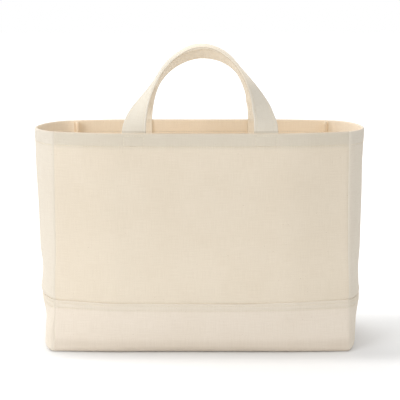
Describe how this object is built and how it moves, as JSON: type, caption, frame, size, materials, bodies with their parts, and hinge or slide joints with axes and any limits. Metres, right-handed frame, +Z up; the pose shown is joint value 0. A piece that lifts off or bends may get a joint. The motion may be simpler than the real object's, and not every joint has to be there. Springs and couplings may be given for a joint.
{
  "type": "canvas basket",
  "caption": "Open-top soft canvas basket with a hemmed rim, a lapped reinforcing band round its base, bound inner seams and strap handles that fold down outside.",
  "frame": {"origin": "middle of the base's underside, on the surface that the basket stands on", "axes": "+Z up through the open rim, +X to the right along the basket's long side, -Y towards the front with the upright handle"},
  "size_m": [0.466, 0.2383, 0.4296],
  "materials": {
    "body_canvas": "matte natural cotton duck, plain weave, unbleached",
    "band_canvas": "matte natural cotton duck, plain weave, a second layer round the base",
    "binding_tape": "matte cotton tape folded over the seam allowances",
    "strap_webbing": "matte strap of folded cotton duck, stitched along both edges"
  },
  "bodies": {
    "bag": {"front_panel": "body_canvas", "back_panel": "body_canvas", "left_gusset": "body_canvas", "right_gusset": "body_canvas", "base_wrap": "band_canvas", "left_side_band": "band_canvas", "right_side_band": "band_canvas", "left_seam_binding": "binding_tape", "right_seam_binding": "binding_tape", "front_handle_end_left": "strap_webbing", "front_handle_end_right": "strap_webbing", "back_handle_end_left": "strap_webbing", "back_handle_end_right": "strap_webbing"},
    "front_handle": {"front_handle": "strap_webbing"},
    "back_handle": {"back_handle": "strap_webbing"}
  },
  "joints": [
    {"name": "front_handle_fold", "type": "hinge", "parent": "bag", "child": "front_handle", "pos_m": [0, -0.0822, 0.31], "axis": [1, 0, 0], "range_deg": [-22, 160]},
    {"name": "back_handle_fold", "type": "hinge", "parent": "bag", "child": "back_handle", "pos_m": [0, 0.0822, 0.31], "axis": [-1, 0, 0], "range_deg": [-59, 123]}
  ]
}
